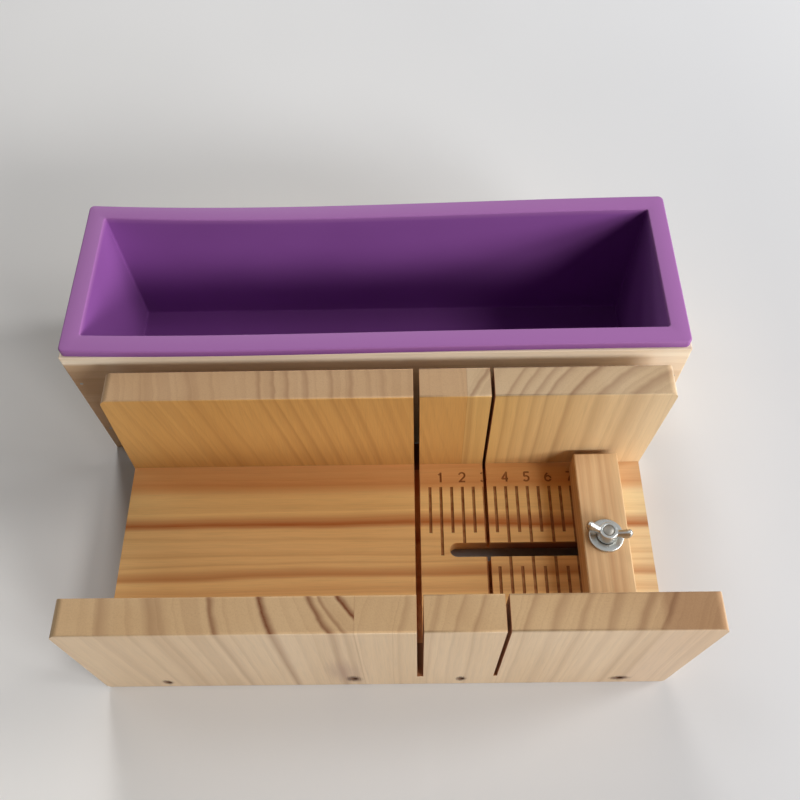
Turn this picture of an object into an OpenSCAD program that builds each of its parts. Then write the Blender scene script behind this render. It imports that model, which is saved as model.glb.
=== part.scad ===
// Loaf mould set: a silicone liner in a wooden box, and beside it the matching cutting box
// with two blade slots, a centimetre scale and a stop that slides and clamps.
// Millimetres. X runs along the loaf, -Y is the side the user works from, +Z is up.
// The origin is on the table, under the middle of the whole set.

/* [Mould box] */
// Outside length of the box
box_l = 268; // [240:1:320]
// Outside depth of the box
box_w = 83; // [70:1:110]
// Height of the side panels
box_h = 83; // [60:1:110]
// Thickness of the side and end panels
panel_t = 6; // [5:0.5:9]
// Thickness of the floor board
floor_t = 9; // [6:0.5:12]

/* [Liner] */
// Wall thickness of the liner
liner_wall = 2.7; // [2:0.1:4]
// Floor thickness of the liner
liner_floor = 4; // [3:0.5:6]
// Width of the flat rim, measured out from the cavity
rim_w = 8.2; // [6:0.1:8.5]
// Thickness of the rim
rim_t = 4.2; // [3:0.1:6]
// Play between the liner and the box on each side
liner_play = 0.3; // [0.2:0.1:0.6]

/* [Cutting box] */
// Width of the channel that the loaf lies in
channel_w = 82; // [70:1:100]
// Length of the base board
base_l = 237; // [225:1:250]
// Thickness of the base board
base_t = 21; // [18:0.5:26]
// Length of the front wall
front_wall_l = 242; // [230:1:252]
// Length of the back wall
back_wall_l = 237.5; // [230:0.5:252]
// How far the saw ran out of square: the ends' lower edges lie this far to the left
end_lean = 3.9; // [0:0.1:5]
// Height of the two walls
wall_h = 84; // [70:1:100]
// Thickness of the two walls
wall_t = 14; // [12:0.5:18]
// Space left between the cutting box and the mould box
set_gap = 8; // [5:1:60]
// How far the cutting box stands to the right of the mould's middle
cutter_dx = 6; // [0:0.5:10]

/* [Blade slots] */
// Width of the slot for the thick blade
wide_slot = 2.5; // [2:0.1:3]
// Width of the slot for the thin blade
thin_slot = 1.5; // [1:0.1:2]
// Height of the slots' bottoms above the table
slot_floor = 15; // [14.5:0.5:17]
// Distance from the thick blade's slot to the thin blade's slot
slot_step = 31.5; // [31:0.1:32]

/* [Scale] */
// Last whole centimetre on the scale
scale_cm = 7; // [5:1:7]
// Depth of the engraved lines
mark_depth = 0.4; // [0.3:0.1:0.6]
// Width of the engraved lines
mark_w = 1.4; // [0.8:0.1:1.5]

/* [Stop] */
// Distance from the scale's zero to the face of the stop
stop_at = 70; // [10:1:75]
// Thickness of the stop block along the scale
stop_t = 19.8; // [16:0.1:22]
// Height of the stop block
stop_h = 15; // [12:0.5:20]
// Length of the stop block across the channel
stop_l = 78; // [70:1:79]
// Width of the slot that the bolt rides in
track_w = 6.6; // [6:0.1:7.5]

/* [Hardware] */
// Thread diameter of the carriage bolt
bolt_d = 5; // [4.5:0.1:5]
// Length of the bolt under its head
bolt_l = 30; // [28:1:40]
// Outside diameter of the washer
washer_d = 15; // [12:0.5:16]
// Tip to tip span of the wing nut
nut_span = 21; // [19:0.5:26]
// Way the wing nut points when it is tight, in degrees
nut_turn = -16; // [-90:1:90]

/* [Hidden] */
$fn = 64;

pale_pine = [0.80, 0.72, 0.58];
warm_pine = [0.76, 0.56, 0.33];
violet = [0.48, 0.25, 0.52];
zinc = [0.72, 0.73, 0.72];
over = 1; // how far cutting shapes run past what they cut

// Places across the set, from the front wall's outer face to the back of the box
set_w = 2 * wall_t + channel_w + set_gap + box_w;
front_y = -set_w / 2;
base_y = front_y + wall_t;
back_wall_y = base_y + channel_w;
box_y = back_wall_y + wall_t + set_gap;
box_cy = box_y + box_w / 2;

// Mould box
in_l = box_l - 2 * panel_t;
in_w = box_w - 2 * panel_t;
panel_ease = 0.5;
brad_r = 0.7;
brad_l = 20;
brad_z = [20, 62];
floor_brad_x = [-80, 0, 80];
pilot_play = 0.02;

// Liner
liner_l = in_l - 2 * liner_play;
liner_w = in_w - 2 * liner_play;
cavity_l = liner_l - 2 * liner_wall;
cavity_w = liner_w - 2 * liner_wall;
rim_z = box_h;
liner_top = rim_z + rim_t;
cavity_r = 1.6;
liner_r = 3;
rim_r = 4;

// Cutting box
wall_r = 3.5;
wood_ease = 0.8;
zero_x = cutter_dx + 12.5;
slot_x = [zero_x - 0.9, zero_x - 0.9 + slot_step];
slot_w = [wide_slot, thin_slot];
nail_at = [[zero_x - 109, 8.6], [zero_x - 29, 11.6], [zero_x + 16.5, 10], [zero_x + 84, 8.6]];
nail_r = 1.1;
nail_head_r = 1.5;
nail_head_t = 1.2;
nail_l = 40;
nail_sunk = 2.5;

// Track for the stop's bolt: a through slot over a wider channel for the bolt's head
track_cy = base_y + 39.5;
track_from = zero_x + 16.6;
track_to = zero_x + 85.4;
channel_d = 13;
head_room = 8.5;

// Scale
mm_per_cm = 10;
digit_y = base_y + 72.5;
upper_top = base_y + 70.2;
upper_half = base_y + 47.6;
first_whole_end = base_y + 37;
lower_half = base_y + 31.7;
lower_from = 3;
digit_stroke = 0.9;

// Stop and its hardware
stop_x = zero_x + stop_at;
stop_y = base_y + 1.2;
bolt_x = stop_x + stop_t / 2;
stop_top = base_t + stop_h;
neck_w = 5.2;
neck_h = 3;
head_r = 6.4;
head_h = 2.8;
washer_t = 1.2;
washer_z = stop_top;
nut_z = washer_z + washer_t;
hub_h = 6;
hub_r = 4.9;
hub_top_r = 4.1;
wing_t = 2;
wing_top = 11;
ear_r = 3.2;

// Rectangle with round corners
module round_rect(w, h, r) {
    translate([r, 0]) square([w - 2 * r, h]);
    translate([0, r]) square([w, h - 2 * r]);
    for (x = [r, w - r], y = [r, h - r]) translate([x, y]) circle(r);
}

// Board with eased edges. face_r rounds its corners as seen along Y.
module board(size, face_r, ease) {
    intersection() {
        translate([0, size.y, 0]) rotate([90, 0, 0])
            linear_extrude(size.y) round_rect(size.x, size.z, face_r);
        linear_extrude(size.z) round_rect(size.x, size.y, ease);
        rotate([90, 0, 90]) linear_extrude(size.x) round_rect(size.y, size.z, ease);
    }
}

// How far the ends of the cutting box have drifted at height z
function lean_at(z) = -end_lean * (1 - z / wall_h);

// Points along an arc, for round corners and for the digits' curved strokes
function arc(c, r, from, to, steps = 10) =
    [for (i = [0 : steps]) let (a = from + (to - from) * i / steps) c + r * [cos(a), sin(a)]];

// Outline of a leaning board as seen from the front, centred on the cutting box
function lean_outline(l, h, r) =
    let (x = l / 2 - r, z = h - r,
         p = concat(arc([x, z], r, 0, 90), arc([-x, z], r, 90, 180),
                    arc([-x, r], r, 180, 270), arc([x, r], r, 270, 360)))
    [for (q = p) [cutter_dx + q.x + lean_at(q.y), q.y]];

// Plate with round upright corners, centred over the box
module round_plate(l, w, h, r) {
    translate([-l / 2, box_cy - w / 2, 0]) linear_extrude(h) round_rect(l, w, r);
}

// ---- Mould box ----

// Every brad of the box, or with play the hole it is driven into
module brad_set(play = 0) {
    for (side = [0, 1]) {
        y = side == 0 ? box_y : box_y + box_w;
        turn = side == 0 ? -90 : 90;
        for (x = [panel_t / 2, box_l - panel_t / 2], z = brad_z)
            translate([x - box_l / 2, y, z]) rotate([turn, 0, 0])
                cylinder(h = brad_l, r = brad_r + play);
        for (x = floor_brad_x)
            translate([x, y, floor_t / 2]) rotate([turn, 0, 0])
                cylinder(h = brad_l, r = brad_r + play);
    }
}

module long_panel(y) {
    difference() {
        translate([-box_l / 2, y, 0]) board([box_l, panel_t, box_h], panel_ease, panel_ease);
        brad_set(pilot_play);
    }
}

module end_panel(x) {
    difference() {
        translate([x, box_y + panel_t, 0]) cube([panel_t, in_w, box_h]);
        brad_set(pilot_play);
    }
}

module box_front_panel() { color(pale_pine) long_panel(box_y); }
module box_back_panel() { color(pale_pine) long_panel(box_y + box_w - panel_t); }
module box_left_end() { color(pale_pine) end_panel(-box_l / 2); }
module box_right_end() { color(pale_pine) end_panel(box_l / 2 - panel_t); }

module box_floor() {
    color(pale_pine) difference() {
        translate([-in_l / 2, box_y + panel_t, 0]) cube([in_l, in_w, floor_t]);
        brad_set(pilot_play);
    }
}

module box_brads() { color(zinc) brad_set(); }

// ---- Liner ----

module silicone_liner() {
    color(violet) difference() {
        union() {
            translate([0, 0, floor_t]) round_plate(liner_l, liner_w, liner_top - floor_t, liner_r);
            translate([0, 0, rim_z])
                round_plate(cavity_l + 2 * rim_w, cavity_w + 2 * rim_w, rim_t, rim_r);
        }
        translate([0, 0, floor_t + liner_floor])
            round_plate(cavity_l, cavity_w, liner_top, cavity_r);
    }
}

// ---- Cutting box ----

// The two saw cuts that run across both walls and on across the base
module blade_cuts() {
    for (i = [0, 1])
        translate([slot_x[i] - slot_w[i] / 2, front_y - over, slot_floor])
            cube([slot_w[i], 2 * wall_t + channel_w + 2 * over, wall_h]);
}

// Nails for both walls. A hole is a nail with play, opened out to the surface it is sunk below.
module nail_set(play = 0, open = false) {
    sunk = open ? 0 : nail_sunk;
    head = open ? nail_sunk + nail_head_t : nail_head_t;
    for (side = [0, 1], at = nail_at) {
        y = side == 0 ? front_y : back_wall_y + wall_t;
        turn = side == 0 ? -90 : 90;
        translate([at.x, y, at.y]) rotate([turn, 0, 0]) {
            translate([0, 0, sunk]) cylinder(h = head, r = nail_head_r + play);
            translate([0, 0, nail_sunk]) cylinder(h = nail_l, r = nail_r + play);
        }
    }
}

module cutter_wall(y, l) {
    difference() {
        intersection() {
            translate([0, y + wall_t, 0]) rotate([90, 0, 0])
                linear_extrude(wall_t) polygon(lean_outline(l, wall_h, wall_r));
            translate([-box_l / 2, y, 0]) rotate([90, 0, 90])
                linear_extrude(box_l) round_rect(wall_t, wall_h, wood_ease);
        }
        blade_cuts();
        nail_set(pilot_play, open = true);
    }
}

module cutter_front_wall() { color(warm_pine) cutter_wall(front_y, front_wall_l); }
module cutter_back_wall() { color(warm_pine) cutter_wall(back_wall_y, back_wall_l); }
module wall_nails() { color(zinc) nail_set(); }

// Slot with round ends that the bolt slides along
module track(w, h) {
    translate([track_from, track_cy - w / 2, 0]) cube([track_to - track_from, w, h]);
    for (x = [track_from, track_to]) translate([x, track_cy, 0]) cylinder(h = h, d = w);
}

// One engraved line of the scale, from y0 up to y1
module mark(cm, y0, y1) {
    translate([zero_x + cm * mm_per_cm - mark_w / 2, y0, base_t - mark_depth])
        cube([mark_w, y1 - y0, over + mark_depth]);
}

module scale_marks() {
    track_top = track_cy + track_w / 2;
    track_low = track_cy - track_w / 2;
    for (cm = [1 : scale_cm]) mark(cm, cm == 1 ? first_whole_end : track_top - over, upper_top);
    for (cm = [1 : scale_cm]) mark(cm - 0.5, upper_half, upper_top);
    for (cm = [lower_from : scale_cm]) mark(cm, base_y, track_low + over);
    for (cm = [lower_from + 1 : scale_cm]) mark(cm - 0.5, base_y, lower_half);
}

// Each digit is a list of strokes in a box 3 wide and 5 high
function digit(n) =
    n == 1 ? [[[1.6, 0], [1.6, 5]], [[1.8, 4.8], [0.5, 3.8]]] :
    n == 2 ? [concat(arc([1.5, 3.5], 1.3, 170, -35), [[0.3, 0.3]]), [[0, 0.35], [3, 0.35]]] :
    n == 3 ? [arc([1.4, 3.7], 1.1, 160, -90), arc([1.4, 1.4], 1.2, 90, -160)] :
    n == 4 ? [[[2.2, 0], [2.2, 5]], [[2.3, 4.9], [0, 1.4]], [[0, 1.5], [3, 1.5]]] :
    n == 5 ? [[[2.8, 4.7], [0.5, 4.7]], [[0.6, 4.9], [0.5, 2.5]], arc([1.3, 1.6], 1.3, 130, -150)] :
    n == 6 ? [arc([3.4, 1.5], 3.3, 125, 180), arc([1.5, 1.5], 1.3, 0, 350, 20)] :
             [[[0, 4.65], [3, 4.65]], [[2.8, 4.8], [0.9, 0]]];

function unit(v) = v / norm(v);
function side_step(p, i) =
    let (v = unit(p[min(i + 1, len(p) - 1)] - p[max(i - 1, 0)])) [-v.y, v.x] * digit_stroke / 2;

// A stroke of even width along a list of points
module stroke(p) {
    polygon(concat([for (i = [0 : len(p) - 1]) p[i] + side_step(p, i)],
                   [for (i = [len(p) - 1 : -1 : 0]) p[i] - side_step(p, i)]));
}

module digits() {
    for (n = [1 : scale_cm], s = digit(n))
        translate([zero_x + n * mm_per_cm - 1.5, digit_y, base_t - mark_depth])
            linear_extrude(over + mark_depth) stroke(s);
}

module cutter_base() {
    color(warm_pine) difference() {
        translate([0, base_y + channel_w, 0]) rotate([90, 0, 0]) linear_extrude(channel_w)
            polygon([for (s = [[-1, 0], [1, 0], [1, 1], [-1, 1]])
                [cutter_dx + s.x * base_l / 2 + lean_at(s.y * base_t), s.y * base_t]]);
        blade_cuts();
        nail_set(pilot_play, open = true);
        translate([0, 0, -over]) track(track_w, base_t + 2 * over);
        translate([0, 0, -over]) track(2 * head_room, channel_d + over);
        scale_marks();
        digits();
    }
}

// ---- Stop ----

module stop_block() {
    color(pale_pine) difference() {
        translate([stop_x, stop_y, base_t]) board([stop_t, stop_l, stop_h], wood_ease, wood_ease);
        translate([bolt_x, track_cy, base_t - over]) cylinder(h = stop_h + 2 * over, d = bolt_d + 0.5);
    }
}

// Carriage bolt, head down in the channel, its square neck in the slot
module carriage_bolt() {
    tip = 0.6;
    dome_r = (head_r * head_r + head_h * head_h) / (2 * head_h);
    color(zinc) translate([bolt_x, track_cy, channel_d]) {
        intersection() {
            translate([0, 0, dome_r - head_h]) sphere(dome_r);
            translate([0, 0, -head_h]) cylinder(h = head_h, r = head_r);
        }
        translate([-neck_w / 2, -neck_w / 2, 0]) cube([neck_w, neck_w, neck_h]);
        cylinder(h = bolt_l - tip, d = bolt_d);
        translate([0, 0, bolt_l - tip]) cylinder(h = tip, d1 = bolt_d, d2 = bolt_d - 2 * tip);
    }
}

module washer() {
    color(zinc) translate([bolt_x, track_cy, washer_z]) difference() {
        cylinder(h = washer_t, d = washer_d);
        translate([0, 0, -over]) cylinder(h = washer_t + 2 * over, d = bolt_d + 0.2);
    }
}

// One wing as seen from the side, from the hub out to its round tip
module wing_outline() {
    tip_x = nut_span / 2 - ear_r;
    translate([tip_x, wing_top - ear_r]) circle(ear_r);
    polygon([[0, 0.8], [hub_r, 0.8], [nut_span / 2 - 0.5, wing_top - ear_r - 1.6],
             [tip_x - ear_r * 0.75, wing_top - ear_r * 0.35],
             [hub_top_r - 0.6, hub_h - 0.4], [0, hub_h - 0.4]]);
}

module wing_nut() {
    color(zinc) translate([bolt_x, track_cy, nut_z]) rotate([0, 0, nut_turn]) difference() {
        union() {
            cylinder(h = hub_h, r1 = hub_r, r2 = hub_top_r);
            for (a = [0, 180]) rotate([90, 0, a]) translate([0, 0, -wing_t / 2])
                linear_extrude(wing_t) wing_outline();
        }
        translate([0, 0, -over]) cylinder(h = wing_top + 2 * over, d = bolt_d + 0.1);
    }
}

box_front_panel();
box_back_panel();
box_left_end();
box_right_end();
box_floor();
box_brads();
silicone_liner();
cutter_base();
cutter_front_wall();
cutter_back_wall();
wall_nails();
stop_block();
carriage_bolt();
washer();
wing_nut();
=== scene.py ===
import math

import bmesh
import bpy
from mathutils import Matrix, Vector


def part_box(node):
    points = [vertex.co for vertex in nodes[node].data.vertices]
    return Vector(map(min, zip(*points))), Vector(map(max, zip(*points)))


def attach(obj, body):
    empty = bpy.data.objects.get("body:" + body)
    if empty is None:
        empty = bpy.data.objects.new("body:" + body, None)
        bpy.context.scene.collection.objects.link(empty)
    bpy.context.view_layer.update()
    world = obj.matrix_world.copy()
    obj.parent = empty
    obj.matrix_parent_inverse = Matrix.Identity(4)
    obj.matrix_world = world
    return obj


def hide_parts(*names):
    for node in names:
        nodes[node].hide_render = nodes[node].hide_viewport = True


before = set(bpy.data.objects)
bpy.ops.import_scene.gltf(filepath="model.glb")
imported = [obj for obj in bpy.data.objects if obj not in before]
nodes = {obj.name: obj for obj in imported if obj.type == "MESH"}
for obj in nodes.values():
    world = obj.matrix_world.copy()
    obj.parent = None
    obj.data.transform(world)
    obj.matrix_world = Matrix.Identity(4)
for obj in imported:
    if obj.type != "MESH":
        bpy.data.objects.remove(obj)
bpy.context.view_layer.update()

# Looks of the loaf mould set: pine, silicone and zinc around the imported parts, a pale floor,
# soft light from the front right, and the camera. Lengths inside the materials are millimetres.

MM = 0.001
X, Y, Z = 0, 1, 2


# ---- Camera, light and floor ----

CAMERA_AT = (0.01561, -0.18126, 0.38928)
CAMERA_TILT = math.radians(60.03)  # below the horizon
CAMERA_AZIMUTH = math.radians(-1.38)
CAMERA_ROLL = math.radians(-2.0)
CAMERA_LENS = 38.93
CAMERA_SHIFT = (-0.0015, -0.0012)

# Soft light as (name, bearing from +Y, height above the horizon, strength). The window is low
# at the right and a little in front. A paler wall glows behind, at the left.
LAMPS = (
    ("window_low", 120, 18, 0.38), ("window_high", 140, 30, 0.24), ("window_front", 132, 24, 0.17),
    ("window_side", 100, 18, 0.14), ("door_low", 80, 18, 0.18), ("door_high", 80, 42, 0.19),
    ("ceiling_right", 100, 42, 0.12), ("wall_low", 350, 18, 0.29), ("wall_high", 350, 42, 0.19),
    ("ceiling_left", 300, 60, 0.05),
)
LAMP_SPREAD = math.radians(15)
LAMP_AWAY = 1.9  # metres
NEAR_BEARINGS = (80, 100, 120, 132, 140)  # near lamps, so the right side is the brighter one
ROOM_TONE = (0.95, 0.97, 1.0, 1)
ROOM_LIGHT = 0.03  # what the pale room adds to the light
ROOM_SEEN = 0.58  # how bright the room itself is, directly and in the metal
FLOOR_HALF = 1.6  # metres


def direction(azimuth, elevation):
    """Unit vector towards a bearing from +Y, clockwise, and a height above the horizon."""
    flat = math.cos(elevation)
    return Vector((math.sin(azimuth) * flat, math.cos(azimuth) * flat, math.sin(elevation)))


def make_camera():
    ahead = direction(CAMERA_AZIMUTH, -CAMERA_TILT)
    level = Vector((math.cos(CAMERA_AZIMUTH), -math.sin(CAMERA_AZIMUTH), 0))
    up = level.cross(ahead)
    right = level * math.cos(CAMERA_ROLL) + up * math.sin(CAMERA_ROLL)
    top = up * math.cos(CAMERA_ROLL) - level * math.sin(CAMERA_ROLL)
    data = bpy.data.cameras.new("camera")
    data.lens = CAMERA_LENS
    data.shift_x, data.shift_y = CAMERA_SHIFT
    turn = Matrix((right, top, -ahead)).transposed().to_4x4()
    camera = put_in_scene("camera", data)
    camera.matrix_world = Matrix.Translation(CAMERA_AT) @ turn
    bpy.context.scene.camera = camera


def put_in_scene(name, data):
    """A new object in the scene."""
    made = bpy.data.objects.new(name, data)
    bpy.context.scene.collection.objects.link(made)
    return made


def make_lamp(name, azimuth, elevation, strength):
    towards = direction(math.radians(azimuth), math.radians(elevation))
    near = azimuth in NEAR_BEARINGS
    data = bpy.data.lights.new(name, "AREA" if near else "SUN")
    data.energy = math.pi * strength
    if near:
        data.shape = "DISK"
        data.size = 2 * LAMP_AWAY * math.tan(LAMP_SPREAD / 2)
        data.energy *= math.pi * LAMP_AWAY ** 2  # the same light as a sun's, at the object's middle
    else:
        data.angle = LAMP_SPREAD
    lamp = put_in_scene(name, data)
    lamp.location = towards * LAMP_AWAY
    lamp.rotation_mode = "QUATERNION"
    lamp.rotation_quaternion = towards.to_track_quat("Z", "Y")


def make_room():
    """A pale room round the set. It is brighter to look at than it is as a light."""
    world = bpy.data.worlds.new("room")
    world.use_nodes = True
    tree = world.node_tree
    room = tree.nodes["Background"]
    room.inputs["Color"].default_value = ROOM_TONE
    rays = tree.nodes.new("ShaderNodeLightPath")
    seen = tree.nodes.new("ShaderNodeMath")
    seen.operation = "MAXIMUM"
    tree.links.new(rays.outputs["Is Glossy Ray"], seen.inputs[0])
    tree.links.new(rays.outputs["Is Camera Ray"], seen.inputs[1])
    level = tree.nodes.new("ShaderNodeMapRange")
    level.inputs["To Min"].default_value = ROOM_LIGHT
    level.inputs["To Max"].default_value = ROOM_SEEN
    tree.links.new(seen.outputs[0], level.inputs["Value"])
    tree.links.new(level.outputs["Result"], room.inputs["Strength"])
    bpy.context.scene.world = world
    bpy.context.scene.view_settings.view_transform = "Standard"


def make_floor():
    """Pale floor, with painted shade making it a little greyer at the right and painted light making it
    whiter towards the back.
    """
    s = Shader("painted_table")
    x, y, _ = s.split(s.place)
    cloud = s.noise(s.place, 0.004, 2)
    # Painted shade greyer to the right, and painted light whiter towards the back.
    tone = s.mix(s.span(x, -220, 220), srgb(240, 237, 233), srgb(207, 207, 209))
    tone = s.mix(s.span(y, 60, 420, 0, 0.6), tone, srgb(252, 252, 253))
    colour = s.mix(s.span(cloud, 0.3, 0.7, 0, 0.06), tone, srgb(180, 178, 176))
    s.coat(colour, s.span(cloud, 0.3, 0.7, 0.6, 0.7), specular=0.2)
    corners = ((-1, -1), (1, -1), (1, 1), (-1, 1))
    mesh = bmesh.new()
    mesh.faces.new([mesh.verts.new((FLOOR_HALF * right, FLOOR_HALF * back, 0)) for right, back in corners])
    floor = put_in_scene("floor", to_data("floor", mesh))
    floor.data.materials.append(s.material)


# ---- Shader building ----

class Shader:
    """One material and short names for the nodes that it is made of."""

    def __init__(self, name):
        self.material = bpy.data.materials.new(name)
        self.material.use_nodes = True
        self.tree = self.material.node_tree
        self.surface = self.tree.nodes["Principled BSDF"]
        in_metres = self.tree.nodes.new("ShaderNodeTexCoord").outputs["Object"]
        scaled = self.tree.nodes.new("ShaderNodeVectorMath")
        scaled.operation = "SCALE"
        scaled.inputs["Scale"].default_value = 1 / MM
        self.put(scaled.inputs[0], in_metres)
        self.place = scaled.outputs["Vector"]

    def put(self, socket, value):
        if isinstance(value, bpy.types.NodeSocket):
            self.tree.links.new(value, socket)
        else:
            socket.default_value = value

    def math(self, operation, a, b=0.0):
        node = self.tree.nodes.new("ShaderNodeMath")
        node.operation = operation
        self.put(node.inputs[0], a)
        self.put(node.inputs[1], b)
        return node.outputs[0]

    def plus(self, a, b):
        return self.math("ADD", a, b)

    def times(self, a, b):
        return self.math("MULTIPLY", a, b)

    def size(self, a):
        """The value without its sign."""
        return self.math("ABSOLUTE", a)

    def off(self, a, b):
        """Signed distance of a from b."""
        return self.math("SUBTRACT", a, b)

    def above(self, a, limit):
        """1 where a is more than the limit."""
        return self.math("GREATER_THAN", a, limit)

    def below(self, a, limit):
        """1 where a is less than the limit."""
        return self.math("LESS_THAN", a, limit)

    def length(self, a, b):
        """Length of the vector (a, b)."""
        return self.math("SQRT", self.plus(self.times(a, a), self.times(b, b)))

    def split(self, vector):
        node = self.tree.nodes.new("ShaderNodeSeparateXYZ")
        self.put(node.inputs[0], vector)
        return list(node.outputs)

    def join(self, *values):
        node = self.tree.nodes.new("ShaderNodeCombineXYZ")
        for socket, value in zip(node.inputs, values):
            self.put(socket, value)
        return node.outputs[0]

    def normal(self):
        return self.split(self.tree.nodes.new("ShaderNodeNewGeometry").outputs["Normal"])

    def noise(self, vector, scale=1.0, detail=2.0, rough=0.5):
        node = self.tree.nodes.new("ShaderNodeTexNoise")
        self.put(node.inputs["Vector"], vector)
        node.inputs["Scale"].default_value = scale
        node.inputs["Detail"].default_value = detail
        node.inputs["Roughness"].default_value = rough
        return node.outputs["Fac"]

    def noise_along(self, kind, value, output):
        """Noise in one dimension."""
        node = self.tree.nodes.new(kind)
        node.noise_dimensions = "1D"
        self.put(node.inputs["W"], value)
        return node.outputs[output]

    def span(self, value, low, high, to_low=0.0, to_high=1.0, smooth=False):
        """Maps low..high onto to_low..to_high and stops at the ends."""
        node = self.tree.nodes.new("ShaderNodeMapRange")
        node.interpolation_type = "SMOOTHSTEP" if smooth else "LINEAR"
        self.put(node.inputs["Value"], value)
        node.inputs["From Min"].default_value = low
        node.inputs["From Max"].default_value = high
        node.inputs["To Min"].default_value = to_low
        node.inputs["To Max"].default_value = to_high
        return node.outputs["Result"]

    def ramp(self, value, stops):
        """Value of a piecewise line through (place, height) stops."""
        node = self.tree.nodes.new("ShaderNodeValToRGB")
        elements = node.color_ramp.elements
        elements.remove(elements[1])
        elements[0].position = stops[0][0]
        elements[0].color = (stops[0][1],) * 3 + (1,)
        for place, height in stops[1:]:
            elements.new(place).color = (height, height, height, 1)
        self.put(node.inputs["Fac"], value)
        return node.outputs["Color"]

    def mix(self, share, a, b, blend="MIX"):
        node = self.tree.nodes.new("ShaderNodeMix")
        node.data_type = "RGBA"
        node.blend_type = blend
        self.put(node.inputs["Factor"], share)
        for socket, colour in ((node.inputs[6], a), (node.inputs[7], b)):
            self.put(socket, colour if isinstance(colour, bpy.types.NodeSocket) else (*colour, 1))
        return node.outputs[2]

    def tint(self, colour, tone):
        """The colour times the tone."""
        return self.mix(1.0, colour, tone, "MULTIPLY")

    def bump(self, height, depth_mm, strength):
        node = self.tree.nodes.new("ShaderNodeBump")
        node.inputs["Strength"].default_value = strength
        node.inputs["Distance"].default_value = depth_mm * MM
        self.put(node.inputs["Height"], height)
        self.put(self.surface.inputs["Normal"], node.outputs["Normal"])

    def coat(self, colour, roughness, specular=0.5):
        self.put(self.surface.inputs["Base Color"], colour)
        self.put(self.surface.inputs["Roughness"], roughness)
        self.surface.inputs["Specular IOR Level"].default_value = specular


def srgb(r, g, b):
    """Linear colour of a screen colour given as 0..255."""
    return tuple(((c / 255 + 0.055) / 1.055) ** 2.4 if c > 10 else c / 3295 for c in (r, g, b))


# ---- Pine ----

PATCHES = 0.5  # how far the broad patches go from the light tone to the dark one
BAND_MARGIN = 15  # plain wood before the first band and after the last one


def ring_bands(s, distance, pith, face, bands):
    """Dark late-wood bands: each is (place across the face, width, strength).
    They follow circles round the pith, rise slowly and stop short, as a year's growth does."""
    circles = sorted((math.hypot(at - pith[0], face - pith[1]), width, dark) for at, width, dark in bands)
    near, far = circles[0][0] - BAND_MARGIN, circles[-1][0] + BAND_MARGIN
    stops = [(0.0, 0.0)]
    for radius, width, dark in circles:
        for offset, height in ((-0.7 * width, 0), (0, dark), (0.3 * width, 0)):
            place = (radius + offset - near) / (far - near)
            stops.append((max(place, stops[-1][0] + 0.001), height))
    return s.ramp(s.span(distance, near, far), stops)


def plain_rings(s, distance, spacing):
    """Faint regular rings, uneven in width and in strength."""
    uneven = s.noise_along("ShaderNodeTexNoise", s.times(distance, 0.11 / spacing), "Fac")
    shifted = s.plus(distance, s.times(uneven, 2.5 * spacing))
    years = s.math("DIVIDE", shifted, spacing)
    strength = s.noise_along("ShaderNodeTexWhiteNoise", s.math("FLOOR", years), "Value")
    late = s.ramp(s.math("FRACT", years), [(0, 0), (0.45, 0.08), (0.86, 1), (0.94, 1), (1, 0)])
    return s.times(late, s.span(strength, 0, 1, 0.25, 1))


class Timber:
    """Place in a board: across the grain (u, v) and along it."""

    def __init__(self, s, axes, grain):
        self.s = s
        self.along = axes[grain]
        self.u, self.v = [axis for i, axis in enumerate(axes) if i != grain]

    def noise(self, cross, length, detail, rough=0.5):
        """Noise whose patches are cross wide and length long, along the grain."""
        s = self.s
        across = [s.times(self.u, 1 / cross), s.times(self.v, 1 / cross)]
        return s.noise(s.join(*across, s.times(self.along, 1 / length)), detail=detail, rough=rough)

    def from_pith(self, stave):
        """Distance from the stave's pith, which may lean along the grain."""
        s = self.s
        drift = s.times(s.off(self.along, stave.get("read_at", 0)), stave.get("tilt", 0))
        across = s.off(s.plus(self.u, drift), stave["pith"][0])
        return s.length(across, s.off(self.v, stave["pith"][1]))

    def growth(self, staves, joints):
        """Strength of the placed bands and of the plain rings, over all the staves."""
        s = self.s
        wobble = s.span(self.noise(34, 240, 3), 0, 1, -3.2, 3.2)
        ripple = s.span(self.noise(6, 70, 2), 0, 1, -0.7, 0.7)
        bands, rings = None, None
        for i, stave in enumerate(staves):
            distance = s.plus(self.from_pith(stave), s.plus(wobble, ripple))
            here = ring_bands(s, distance, stave["pith"], stave["face"], stave["bands"])
            fine = plain_rings(s, distance, stave["spacing"])
            if i == 0:
                bands, rings = here, fine
                continue
            past = s.above(self.u, joints[i - 1])
            bands = s.mix(past, bands, here)
            rings = s.mix(past, rings, fine)
        return bands, rings


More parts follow.
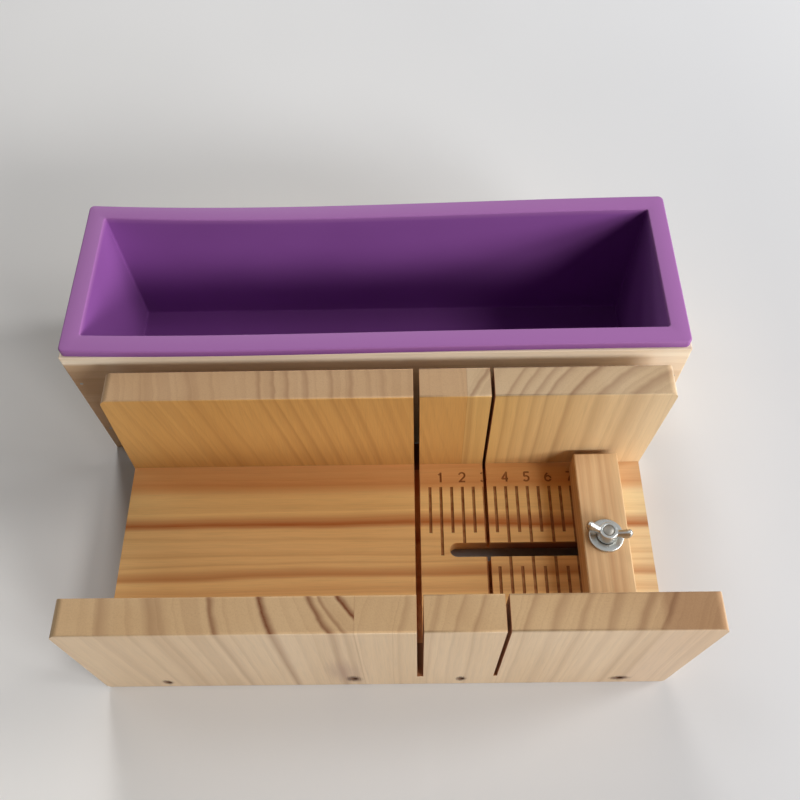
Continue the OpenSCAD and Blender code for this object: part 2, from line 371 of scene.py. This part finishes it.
def pine(name, grain, staves, light, dark, late, joints=(), rings=0.3,
         end_tone=(0.80, 0.70, 0.60), face_bands=0.6, extra=None):
    """Pine sawn from a log: rings in the plane across the grain, carried along it.
    grain is the axis that the fibres run along. Each stave has its pith and its bands.
    end_tone is how much darker the end grain is, and face_bands how strong its bands stay on the faces.
    extra adds what is special to one board."""
    s = Shader(name)
    axes = s.split(s.place)
    wood = Timber(s, axes, grain)
    fibre = wood.noise(0.55, 16, 3, 0.6)
    patches = wood.noise(26, 130, 2)
    bands, plain = wood.growth(staves, joints)
    normal = s.normal()
    end = s.span(s.size(normal[grain]), 0.5, 0.85)
    bands = s.times(bands, s.span(end, 0, 1, face_bands, 1))

    colour = s.mix(s.span(patches, 0.35, 0.65, 0, PATCHES), light, dark)
    colour = s.mix(s.times(plain, rings), colour, late)
    broken = s.times(bands, s.span(fibre, 0.2, 0.8, 0.8, 1.1))
    colour = s.mix(s.math("MINIMUM", broken, 0.95), colour, late)
    streaks = s.span(fibre, 0.25, 0.75, 0.90, 1.06)
    colour = s.tint(colour, s.mix(streaks, (0, 0, 0), (1, 1, 1)))
    for joint in joints:
        seam = s.span(s.size(s.off(wood.u, joint)), 0.1, 0.35, 0.15, 0)
        colour = s.mix(seam, colour, late)
    colour = s.mix(end, colour, s.tint(colour, end_tone))
    if extra:
        colour = extra(s, axes, normal, colour, fibre)
    s.coat(colour, s.span(fibre, 0.3, 0.7, 0.52, 0.7), specular=0.15)
    s.bump(s.plus(fibre, s.times(bands, 0.6)), 0.06, 0.6)
    return s.material


# ---- What is special to each board ----

SAW_CUTS = ((17.6, 2.5), (49.1, 1.5))  # place and width of each blade's slot
CUT_FLOOR = 15
BASE_TOP = 21
MARK_DEPTH = 0.7  # every mark is shallower than this
# The slot that the bolt slides in, and the space between the two walls.
TRACK_START, TRACK_END, TRACK_MIDDLE, TRACK_HALF = 31.5, 107.5, -47, 3.35
CHANNEL_MIDDLE, CHANNEL_HALF = -45.5, 41
LEFT_STAVE_END = -6  # on the front wall
RIGHT_STAVE_START = 38.5  # on the back wall
# Painted warm bounce shade on the wall faces inside the channel.
BOUNCE_SHADE_TONE = (0.86, 0.66, 0.34)
KERF_TONE = srgb(158, 92, 54)
STAIN_TONE = srgb(88, 56, 42)
# Stains round the nails, as (place along the wall, height, half width, half height).
NAIL_STAINS = ((-90.5, 8.6, 2.0, 3.6), (-10.5, 11.6, 2.9, 5.0), (35, 10, 2.1, 3.8), (102.5, 8.6, 3.8, 3.3))


def ragged(s, value, fibre, by):
    """The value, pushed to and fro by the fibres."""
    return s.plus(value, s.span(fibre, 0.2, 0.8, -by, by))


def in_slot(s, x, z):
    """1 on the faces inside the two saw cuts."""
    inside = []
    for centre, width in SAW_CUTS:
        inside.append(s.span(s.size(s.off(x, centre)), width / 2 + 0.02, width / 2 + 0.15, 1, 0))
    return s.times(s.math("MAXIMUM", *inside), s.above(z, CUT_FLOOR - 0.05))


def track_painted_shade(s, x, y, z, normal):
    """Painted shade on the upright faces of the slot that the bolt slides in: 1 there, less near the top
    and towards the slot's left end.
    """
    beside = s.below(s.size(s.off(y, TRACK_MIDDLE)), TRACK_HALF)
    along = s.times(s.span(x, TRACK_START, TRACK_START + 30, 0.1, 1), s.below(x, TRACK_END))
    upright = s.below(s.size(normal[Z]), 0.5)
    shade_by_depth = s.span(z, 18.5, 20.9, 1, 0.75)
    return s.times(s.times(beside, along), s.times(upright, shade_by_depth))


def oval(s, u, v, centre_u, centre_v, half_u, half_v):
    """Distance from an oval's middle: 1 on its outline."""
    across = s.math("DIVIDE", s.off(u, centre_u), half_u)
    return s.length(across, s.math("DIVIDE", s.off(v, centre_v), half_v))


def wall_bounce_shade_and_stains(s, axes, normal, colour, fibre):
    """Painted warm bounce shade on the faces towards the channel, less of it towards the right end, brown
    saw cuts, and stained torn fibres at the nails.
    """
    x, y, z = axes
    from_middle = s.size(s.off(y, CHANNEL_MIDDLE))
    # Painted warm bounce shade on the faces inside the channel, less towards the open right end.
    facing = s.times(s.below(from_middle, CHANNEL_HALF + 0.3), s.span(s.size(normal[Y]), 0.5, 0.9))
    painted_bounce_shade = s.times(facing, s.span(x, 50, 125, 1, 0.35))
    colour = s.mix(painted_bounce_shade, colour, s.tint(colour, BOUNCE_SHADE_TONE))
    colour = s.mix(s.times(in_slot(s, x, z), 0.75), colour, KERF_TONE)
    outside = s.above(from_middle, CHANNEL_HALF + 1)
    for stain in NAIL_STAINS:
        away = ragged(s, oval(s, x, z, *stain), fibre, 0.3)
        share = s.times(s.span(away, 0.5, 1.4, 0.85, 0, smooth=True), outside)
        colour = s.mix(share, colour, STAIN_TONE)
    return colour


def front_wall_knot_and_shade(s, axes, normal, colour, fibre):
    """The wall's painted bounce shade, saw cuts and nail stains, with a small grey knot above the second
    nail and a redder right end.
    """
    x, y, z = axes
    upward = s.span(normal[Z], 0.5, 0.85)
    red = s.plus(s.span(x, 60, 104, 0, 0.3), s.span(x, 103, 106, 0, 0.7))
    redder = s.mix(upward, (0.97, 0.96, 1.0), (0.70, 0.62, 0.60))
    colour = s.mix(red, colour, s.tint(colour, redder))
    side = s.mix(s.below(x, LEFT_STAVE_END), (0.94, 0.91, 0.91), (0.92, 0.89, 0.89))
    colour = s.tint(colour, s.mix(upward, side, (1, 1, 1)))
    away = ragged(s, oval(s, x, z, -14, 24, 9, 26), fibre, 0.2)
    knot = s.span(away, 0.1, 1.1, 0.42, 0, smooth=True)
    colour = s.mix(knot, colour, srgb(156, 124, 112))
    return wall_bounce_shade_and_stains(s, axes, normal, colour, fibre)


def back_wall_staves_and_shade(s, axes, normal, colour, fibre):
    """The wall's painted bounce shade, saw cuts and nail stains on two staves: the right one is a paler
    board.
    """
    right = s.span(axes[X], RIGHT_STAVE_START - 0.1, RIGHT_STAVE_START + 0.1)
    tone = s.mix(right, (0.96, 0.91, 0.87), (1.05, 1.12, 1.20))
    return wall_bounce_shade_and_stains(s, axes, normal, s.tint(colour, tone), fibre)


def front_panel_painted_shadow(s, axes, normal, colour, fibre):
    """Painted shadow of the cutter's back wall: the board is browner below a paler strip along its top
    edge, most towards its left end.
    """
    height = ragged(s, axes[Z], fibre, 0.6)
    below_top_strip = s.span(height, 76.5, 79, 1, 0, smooth=True)
    # Painted shadow: browner below the top strip, most at the left end.
    brown = s.times(below_top_strip, s.span(axes[X], -118, -95, 1, 0.3))
    return s.mix(brown, colour, s.tint(colour, (0.70, 0.56, 0.44)))


def base_marks_and_shade(s, axes, normal, colour, fibre):
    """A pale and a brown streak, a paler right end, scorched marks, brown saw cuts, and painted shade on
    the walls of the bolt's slot.
    The marks are what faces up just below the top."""
    x, y, z = axes
    edge = ragged(s, y, fibre, 0.5)
    pale = s.times(s.span(edge, -33, -29), s.span(edge, -21, -18, 1, 0))
    colour = s.mix(pale, colour, s.tint(colour, (1.06, 1.12, 1.10)))
    profile = [(0, 0.0), (0.38, 0.04), (0.5, 0.62), (0.56, 0.74), (0.8, 0.56), (1, 0.66)]
    heart = s.ramp(s.span(edge, -28, -4), profile)
    colour = s.mix(heart, colour, s.mix(0.75, colour, srgb(206, 120, 54)))
    colour = s.mix(s.span(x, 96, 110), colour, s.tint(colour, (0.82, 0.98, 1.35)))
    sunk = s.times(s.below(z, BASE_TOP - 0.15), s.above(z, BASE_TOP - MARK_DEPTH))
    marks = s.times(sunk, s.above(normal[Z], 0.7))
    scorch = s.span(s.noise(s.place, 0.35, 1), 0.3, 0.7, 0.7, 0.95)
    colour = s.mix(s.times(marks, scorch), colour, srgb(140, 84, 48))
    # Painted shade on the upright walls of the bolt's slot.
    colour = s.mix(track_painted_shade(s, x, y, z, normal), colour, srgb(150, 100, 76))
    return s.mix(s.times(in_slot(s, x, z), 0.5), colour, srgb(214, 138, 92))


PALE = dict(light=srgb(230, 206, 172), dark=srgb(218, 190, 152), late=srgb(118, 58, 22))
PALE_BOX = dict(light=srgb(250, 234, 210), dark=srgb(240, 218, 188), late=srgb(206, 168, 126))
GREYER_BOX = dict(light=srgb(220, 196, 162), dark=srgb(206, 178, 142), late=srgb(170, 128, 86))
HONEY = dict(light=srgb(250, 204, 138), dark=srgb(240, 190, 122), late=srgb(180, 94, 38))
TAN = dict(light=srgb(226, 192, 146), dark=srgb(216, 174, 128), late=srgb(176, 118, 78))
LONG_STAVE = dict(pith=(-60, 20), face=70, spacing=6, bands=[(17, 5, 0.2), (100, 5, 0.2)])


def front_wall_pine():
    left = dict(pith=(13, -75), face=-93, spacing=5.5, bands=[
        (-98, 7, 0.34), (-80.5, 12, 0.34), (-57.7, 3.6, 0.75), (-38.8, 3.8, 1.0), (-20.2, 3.6, 0.85),
        (-15.7, 2.4, 0.6), (-7.8, 3.2, 1.1)])
    right = dict(pith=(212, -145), face=-93.5, spacing=3.4, bands=[
        (11, 3, 0.22), (21.8, 3.5, 0.24), (30.7, 3.5, 0.26), (37.8, 4, 0.28), (56.7, 4, 0.3),
        (66.6, 5, 0.32), (75.5, 4, 0.28), (86.1, 5, 0.34), (97.4, 5, 0.4), (105.5, 3, 0.5)])
    return pine("pine_front_wall", Z, [left, right], joints=[LEFT_STAVE_END], rings=0.12,
                end_tone=(0.73, 0.62, 0.50), face_bands=0.4, extra=front_wall_knot_and_shade, **PALE)


def back_wall_pine():
    left = dict(pith=(-150, -8), face=2.6, spacing=4.5, tilt=0.17, read_at=84, bands=[
        (-92, 8, 0.14), (-74, 10, 0.16), (-47.3, 3, 0.34), (-41.7, 3, 0.34), (-36.1, 3, 0.34),
        (-28.3, 3.5, 0.34), (-17.9, 3.5, 0.32), (-9.7, 4, 0.28), (-2, 3, 0.16), (3.9, 4, 0.22)])
    right = dict(pith=(150, -60), face=1, spacing=4, bands=[
        (42.1, 3, 0.5), (56.1, 3, 0.32), (62.2, 3, 0.36), (68.8, 3, 0.36), (74.5, 3.5, 0.4),
        (85.1, 4, 0.55), (97.7, 5, 0.4), (112.4, 7, 0.4)])
    return pine("pine_back_wall", Z, [left, right], joints=[RIGHT_STAVE_START], rings=0.12,
                end_tone=(0.72, 0.62, 0.53), extra=back_wall_staves_and_shade, **PALE)


def base_pine():
    board = dict(pith=(60, -70), face=21, spacing=4.2, bands=[
        (-34.8, 6, 0.95), (-41.8, 1.6, 0.22), (-49.5, 2, 0.28), (-53.5, 1.6, 0.14), (-58.7, 5, 0.6),
        (-66, 3, 0.3), (-74, 2.5, 0.3), (-81, 5, 0.4)])
    return pine("pine_base", X, [board], rings=0.2, face_bands=1, extra=base_marks_and_shade, **HONEY)


def block_pine():
    block = dict(pith=(150, -30), face=36, spacing=3.2, bands=[
        (90.5, 2, 0.3), (94, 2.5, 0.3), (99.5, 3, 0.42), (103, 2, 0.35)])
    return pine("pine_block", Y, [block], rings=0.25, face_bands=1, **TAN)


def paint_pines():
    """Gives every board its own pine."""
    paint("cutter_front_wall", front_wall_pine())
    paint("cutter_back_wall", back_wall_pine())
    paint("cutter_base", base_pine())
    paint("stop_block", block_pine())
    long_panel = pine("pine_long_panels", X, [LONG_STAVE], **PALE_BOX)
    paint("box_back_panel", long_panel)
    paint("box_floor", long_panel)
    end_stave = dict(pith=(40, -60), face=60, spacing=7, bands=[(-134, 4, 0.2), (134, 4, 0.2)])
    end_panel = pine("pine_end_panels", Y, [end_stave], rings=0.35, **GREYER_BOX)
    paint("box_left_end", end_panel)
    paint("box_right_end", end_panel)
    front_panel = pine("pine_front_panel", X, [LONG_STAVE], extra=front_panel_painted_shadow, **PALE_BOX)
    paint("box_front_panel", front_panel)


def paint(name, material):
    """Gives a carried-over CAD node its material."""
    mesh = nodes[name].data
    mesh.materials.clear()
    mesh.materials.append(material)


def ease_edges(name, width_mm):
    """Small round on the sharp edges of a sawn board."""
    weld = nodes[name].modifiers.new("weld", "WELD")
    weld.merge_threshold = 1e-6
    bevel = nodes[name].modifiers.new("ease", "BEVEL")
    bevel.width = width_mm * MM
    bevel.segments = 2
    bevel.limit_method = "ANGLE"
    bevel.angle_limit = math.radians(50)
    bevel.harden_normals = True


# ---- Mesh building ----

ROUND = 48  # points round a bolt or a nut


def to_data(name, mesh):
    """The mesh data of a bmesh, which is used up."""
    data = bpy.data.meshes.new(name)
    mesh.to_mesh(data)
    mesh.free()
    return data


def loft(name, loops, caps=True):
    """Smooth mesh through closed loops of equal length."""
    mesh = bmesh.new()
    rows = [[mesh.verts.new(p) for p in loop] for loop in loops]
    count = len(rows[0])
    for a, b in zip(rows, rows[1:]):
        for k in range(count):
            n = (k + 1) % count
            mesh.faces.new((a[k], a[n], b[n], b[k]))
    if caps:
        mesh.faces.new(list(reversed(rows[0])))
        mesh.faces.new(rows[-1])
    bmesh.ops.recalc_face_normals(mesh, faces=mesh.faces)
    data = to_data(name, mesh)
    smooth(data)
    return put_in_scene(name, data)


def smooth(data):
    for face in data.polygons:
        face.use_smooth = True


def join_parts(name, parts):
    """One object out of several meshes."""
    whole = bmesh.new()
    for part in parts:
        whole.from_mesh(part.data)
        bpy.data.objects.remove(part)
    return put_in_scene(name, to_data(name, whole))


def weld_mesh(piece):
    """Closes a ring whose first and last loops lie on each other."""
    mesh = bmesh.new()
    mesh.from_mesh(piece.data)
    bmesh.ops.remove_doubles(mesh, verts=mesh.verts, dist=1e-7)
    bmesh.ops.recalc_face_normals(mesh, faces=mesh.faces)
    mesh.to_mesh(piece.data)
    mesh.free()


def apply_all(piece):
    """Turns a piece's modifiers into its mesh."""
    graph = bpy.context.evaluated_depsgraph_get()
    mesh = bpy.data.meshes.new_from_object(piece.evaluated_get(graph))
    piece.modifiers.clear()
    piece.data = mesh


def on_circle(centre, radius, angle, z):
    return Vector((centre[0] + radius * math.cos(angle), centre[1] + radius * math.sin(angle), z))


def round_loop(radius, z, count=ROUND, centre=(0, 0)):
    return [on_circle(centre, radius, 2 * math.pi * k / count, z) for k in range(count)]


def quarter(steps, first=0):
    """Steps round a rounded edge: how far is left to go one way, and how far it has gone the other."""
    turns = [math.radians(90 * k / steps) for k in range(first, steps + 1)]
    return [(1 - math.sin(a), 1 - math.cos(a)) for a in turns]


def middle(low, high):
    return ((low.x + high.x) / 2, (low.y + high.y) / 2)


# ---- Silicone ----

LINER_WALL = 2.7 * MM
LINER_FLOOR = 4 * MM
RIM_WIDTH = 8.2 * MM
SAG = -2.7 * MM  # the back of the rim hangs in by this much
BULGE = -1.2 * MM  # the front of the rim stands out by this much
CAVITY_BULGE = 0.8  # the cavity's share of it
BOW_POWER = 1.4  # the bows fade towards the floor
HEIGHT_STEPS = 12
PER_CORNER, PER_SIDE = 6, 40


def make_silicone():
    s = Shader("violet_silicone")
    cloud = s.noise(s.place, 0.02, 2)
    grain = s.noise(s.place, 1.6, 2)
    colour = s.mix(s.span(cloud, 0.3, 0.7), srgb(144, 84, 158), srgb(138, 79, 152))
    # Painted sheen: the rim's top is paler than the walls below it.
    height = s.split(s.place)[Z]
    colour = s.mix(s.span(height, 84, 86.9), colour, srgb(162, 105, 167))
    s.coat(colour, s.span(grain, 0.3, 0.7, 0.48, 0.58), specular=0.22)
    s.surface.inputs["Sheen Weight"].default_value = 0.05
    s.bump(grain, 0.03, 0.4)
    return s.material


def back_bow(t):
    """The back of the rim sags in, most at a third of the way along. 1 at its deepest."""
    return t * (1 - t) ** 2 / (4 / 27)


def front_bow(t):
    """The front of the rim bulges out near its left end and runs true after that."""
    return t * (1 - t) ** 3 / (27 / 256)


def corner_loop(box, radius, z, bow_front, bow_back):
    """Closed loop of points round a rectangle with round corners, its long sides bowed."""
    left, right, front, back = box

    def bowed(x, y, at_back):
        share = min(max((x - left) / (right - left), 0), 1)
        bow = bow_back * back_bow(share) if at_back else bow_front * front_bow(share)
        return Vector((x, y + bow, z))

    corners = ((right - radius, front + radius, -90, False), (right - radius, back - radius, 0, True),
               (left + radius, back - radius, 90, True), (left + radius, front + radius, 180, False))
    points = []
    for i, (x, y, start, at_back) in enumerate(corners):
        for k in range(PER_CORNER + 1):
            a = math.radians(start + 90 * k / PER_CORNER)
            points.append(bowed(x + radius * math.cos(a), y + radius * math.sin(a), at_back))
        if i % 2:  # a long side follows this corner
            run = corners[(i + 1) % 4][0] - x
            for k in range(1, PER_SIDE):
                points.append(bowed(x + run * k / PER_SIDE, back if at_back else front, at_back))
    return points


def inset(box, by):
    left, right, front, back = box
    return (left + by, right - by, front + by, back - by)


def liner_loop(box, by, radius, z, front=0, back=0):
    """Loop of the box moved in. front and back are its shares of the rim's bows."""
    return corner_loop(inset(box, by), max(radius - by, 0.4 * MM), z, BULGE * front, SAG * back)


def liner_outside(box, bottom, top):
    """Loops up the outside, from the round under the floor to the rim."""
    foot, corner = 2 * MM, 3 * MM
    loops = [liner_loop(box, foot * across, corner, bottom + foot * along) for across, along in quarter(3)]
    for k in range(1, HEIGHT_STEPS + 1):
        share = k / HEIGHT_STEPS
        z = bottom + foot + (top - bottom - foot) * share
        loops.append(liner_loop(box, 0, corner, z, 0, share ** BOW_POWER))
    return loops


def liner_rim(box, bottom, top):
    """Loops round the rim's lower and upper outer edges."""
    under, over, corner = 0.6 * MM, 0.8 * MM, 2.4 * MM
    loops = []
    for across, along in quarter(4):
        loops.append(liner_loop(box, under * across, corner, bottom + under * along, 1, 1))
    for along, across in quarter(4):
        loops.append(liner_loop(box, over * across, corner, top - over * along, 1, 1))
    return loops


def liner_cavity(box, bottom, top):
    """Loops over the cavity's edge, down its walls and round its foot."""
    lip, foot, corner = 0.6 * MM, 0.8 * MM, 1 * MM
    loops = []
    for across, along in quarter(4):
        loops.append(liner_loop(box, -lip * across, corner, top - lip * along, CAVITY_BULGE, 1))
    for k in range(1, HEIGHT_STEPS + 1):
        share = 1 - k / HEIGHT_STEPS
        z = bottom + foot + (top - lip - bottom - foot) * share
        bow = share ** BOW_POWER
        loops.append(liner_loop(box, 0, corner, z, CAVITY_BULGE * bow, bow))
    for along, across in quarter(4, 1):
        loops.append(liner_loop(box, foot * across, corner, bottom + foot * along))
    return loops


def make_liner(material):
    low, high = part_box("silicone_liner")
    rim_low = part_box("box_front_panel")[1].z  # the rim lies on the panels
    rim = (low.x, high.x, low.y, high.y)
    loops = liner_outside(inset(rim, RIM_WIDTH - LINER_WALL), low.z, rim_low)
    loops += liner_rim(rim, rim_low, high.z)
    loops += liner_cavity(inset(rim, RIM_WIDTH), low.z + LINER_FLOOR, high.z)
    liner = loft("liner_body", loops)
    liner.data.materials.append(material)
    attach(liner, "liner")
    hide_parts("silicone_liner")


# ---- Metal ----

HEAD_HEIGHT, NECK_HEIGHT, NECK_HALF = 2.8 * MM, 3 * MM, 2.6 * MM
THREAD_R, THREAD_PITCH, THREAD_DEPTH, THREAD_TIP = 2.5 * MM, 0.8 * MM, 0.42 * MM, 0.7 * MM
STEPS_PER_PITCH = 10
SEAT_PLAY = 0.03 * MM  # the bolt's head is just clear of the board above
WASHER_BORE_R, WASHER_BURR, WASHER_ROLL = 2.6 * MM, 0.15 * MM, 0.4 * MM
HUB_LOW_R, HUB_TOP_R, HUB_HEIGHT = 4.3 * MM, 3.8 * MM, 6 * MM
NUT_BORE_R = 2.56 * MM
NUT_TURN = math.radians(-14)
EAR_RINGS, EAR_POINTS = 15, 24


def make_metal(name, tone, rough, pits):
    s = Shader(name)
    grain = s.noise(s.place, 1.1, 4, 0.65)
    smudge = s.noise(s.place, 0.25, 2)
    colour = s.mix(s.span(smudge, 0.3, 0.7), tone, tuple(c * 0.82 for c in tone))
    s.coat(colour, s.span(smudge, 0.3, 0.7, rough, rough + 0.16))
    s.surface.inputs["Metallic"].default_value = 1.0
    s.bump(grain, pits, 0.7)
    return s.material


def dome_loops(centre, radius, bottom, top):
    """Loops over the bolt's domed head, from its crown to its flat side."""
    height = top - bottom
    dome_r = (radius ** 2 + height ** 2) / (2 * height)
    widest = math.asin(radius / dome_r)
    loops = []
    for k in range(1, 11):
        a = widest * k / 10
        loops.append(round_loop(dome_r * math.sin(a), bottom + dome_r * (1 - math.cos(a)), ROUND, centre))
    loops.append(round_loop(radius - 0.15 * MM, top, ROUND, centre))
    return loops


def square_loop(centre, half, z):
    """Square with clipped corners."""
    points = []
    for k in range(ROUND):
        a = 2 * math.pi * k / ROUND
        reach = half / max(abs(math.cos(a)), abs(math.sin(a)))
        points.append(on_circle(centre, min(reach, half * 1.3), a, z))
    return points


def thread_loop(centre, z, start, top):
    """Loop round the thread. It is shallow where it starts and narrow at the tip."""
    run_in = min(1, (z - start) / THREAD_PITCH)
    taper = min(1, (top - z) / THREAD_TIP + 0.45)
    points = []
    for k in range(ROUND):
        share = (z / THREAD_PITCH - k / ROUND) % 1
        groove = 1 - abs(2 * share - 1) ** 0.8
        radius = (THREAD_R - THREAD_DEPTH * groove * run_in) * taper
        points.append(on_circle(centre, radius, 2 * math.pi * k / ROUND, z))
    return points


def make_bolt(material):
    """Carriage bolt: domed head, square neck, and a thread with a true helix."""
    low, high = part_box("carriage_bolt")
    centre = middle(low, high)
    seat = low.z + HEAD_HEIGHT - SEAT_PLAY
    start = seat + NECK_HEIGHT
    loops = dome_loops(centre, (high.x - low.x) / 2, low.z, seat)
    loops.append(square_loop(centre, NECK_HALF, seat))
    loops.append(square_loop(centre, NECK_HALF, start - 0.3 * MM))
    steps = int((high.z - start) / (THREAD_PITCH / STEPS_PER_PITCH))
    for i in range(steps + 1):
        z = start + (high.z - start) * i / steps
        loops.append(thread_loop(centre, z, start, high.z))
    bolt = loft("threaded_bolt", loops)
    bolt.data.materials.append(material)
    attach(bolt, "stop")
    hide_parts("carriage_bolt")


def make_washer(material):
    """Pressed washer: a flat ring with a rolled outer edge and a burred bore."""
    low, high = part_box("washer")
    outer, bore, burr = (high.x - low.x) / 2, WASHER_BORE_R, WASHER_BURR
    profile = [(bore, low.z + burr), (bore + burr, low.z), (outer - burr, low.z), (outer, low.z + burr)]
    for along, across in quarter(4):
        profile.append((outer - WASHER_ROLL * across, high.z - WASHER_ROLL * along))
    profile += [(bore + burr, high.z), (bore, high.z - burr), (bore, low.z + burr)]
    loops = [round_loop(r, z, 64, middle(low, high)) for r, z in profile]
    washer = loft("washer_ring", loops, caps=False)
    weld_mesh(washer)
    washer.data.materials.append(material)
    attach(washer, "clamp_washer")
    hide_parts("washer")


def rounded_off(t, start, spread, least):
    """1 as far as start, then less, as on a round end."""
    return math.sqrt(max(1 - max(t - start, 0) ** 2 / spread, least))


def ear_ring(side, t):
    """Outline of an ear, from its root (t = 0) to its tip (t = 1)."""
    x = (2.2 + 7.5 * t) * MM
    lift = (3.0 + 3.9 * t) * MM
    tall = (1.6 + 2.1 * t) * MM * rounded_off(t, 0.62, 0.148, 0.03)
    thick = (1.3 + 0.8 * t) * MM * rounded_off(t, 0.75, 0.064, 0.05)
    turns = [2 * math.pi * j / EAR_POINTS for j in range(EAR_POINTS)]
    return [Vector((side * x, thick * math.cos(a), lift + tall * math.sin(a))) for a in turns]


def nut_casting():
    """Hub and two ears, run together with soft fillets."""
    hub = [round_loop(HUB_LOW_R, 0.35 * MM), round_loop(HUB_LOW_R, 1.2 * MM),
           round_loop(HUB_TOP_R, HUB_HEIGHT - 0.3 * MM)]
    parts = [loft("hub", hub)]
    for side in (1, -1):
        parts.append(loft("ear", [ear_ring(side, k / (EAR_RINGS - 1)) for k in range(EAR_RINGS)]))
    nut = join_parts("cast_wing_nut", parts)
    remesh = nut.modifiers.new("cast", "REMESH")
    remesh.mode = "VOXEL"
    remesh.voxel_size = 0.22 * MM
    soften = nut.modifiers.new("soften", "SMOOTH")
    soften.factor = 0.5
    soften.iterations = 6
    apply_all(nut)
    return nut


def bore_nut(nut):
    bore = loft("bore", [round_loop(NUT_BORE_R, -2 * MM), round_loop(NUT_BORE_R, 14 * MM)])
    cut = nut.modifiers.new("bore", "BOOLEAN")
    cut.operation = "DIFFERENCE"
    cut.object = bore
    cut.solver = "EXACT"
    apply_all(nut)
    bpy.data.objects.remove(bore)


def make_wing_nut(material):
    """Cast wing nut, bored, and turned on the bolt's axis."""
    nut = nut_casting()
    bore_nut(nut)
    x, y = middle(*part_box("carriage_bolt"))
    place = Matrix.Translation((x, y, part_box("wing_nut")[0].z)) @ Matrix.Rotation(NUT_TURN, 4, "Z")
    nut.data.transform(place)
    smooth(nut.data)
    nut.data.materials.clear()
    nut.data.materials.append(material)
    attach(nut, "clamp_nut")
    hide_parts("wing_nut")


make_camera()
for lamp in LAMPS:
    make_lamp(*lamp)
make_room()
make_floor()
paint_pines()
zinc = make_metal("zinc_plate", srgb(205, 206, 202), 0.24, 0.03)
steel = make_metal("bright_steel", srgb(190, 188, 184), 0.35, 0.02)
paint("box_brads", steel)
paint("wall_nails", steel)
for board in ("cutter_front_wall", "cutter_back_wall", "stop_block"):
    ease_edges(board, 0.35)
make_liner(make_silicone())
make_bolt(make_metal("thread_zinc", srgb(150, 146, 138), 0.42, 0.03))
make_washer(zinc)
make_wing_nut(zinc)
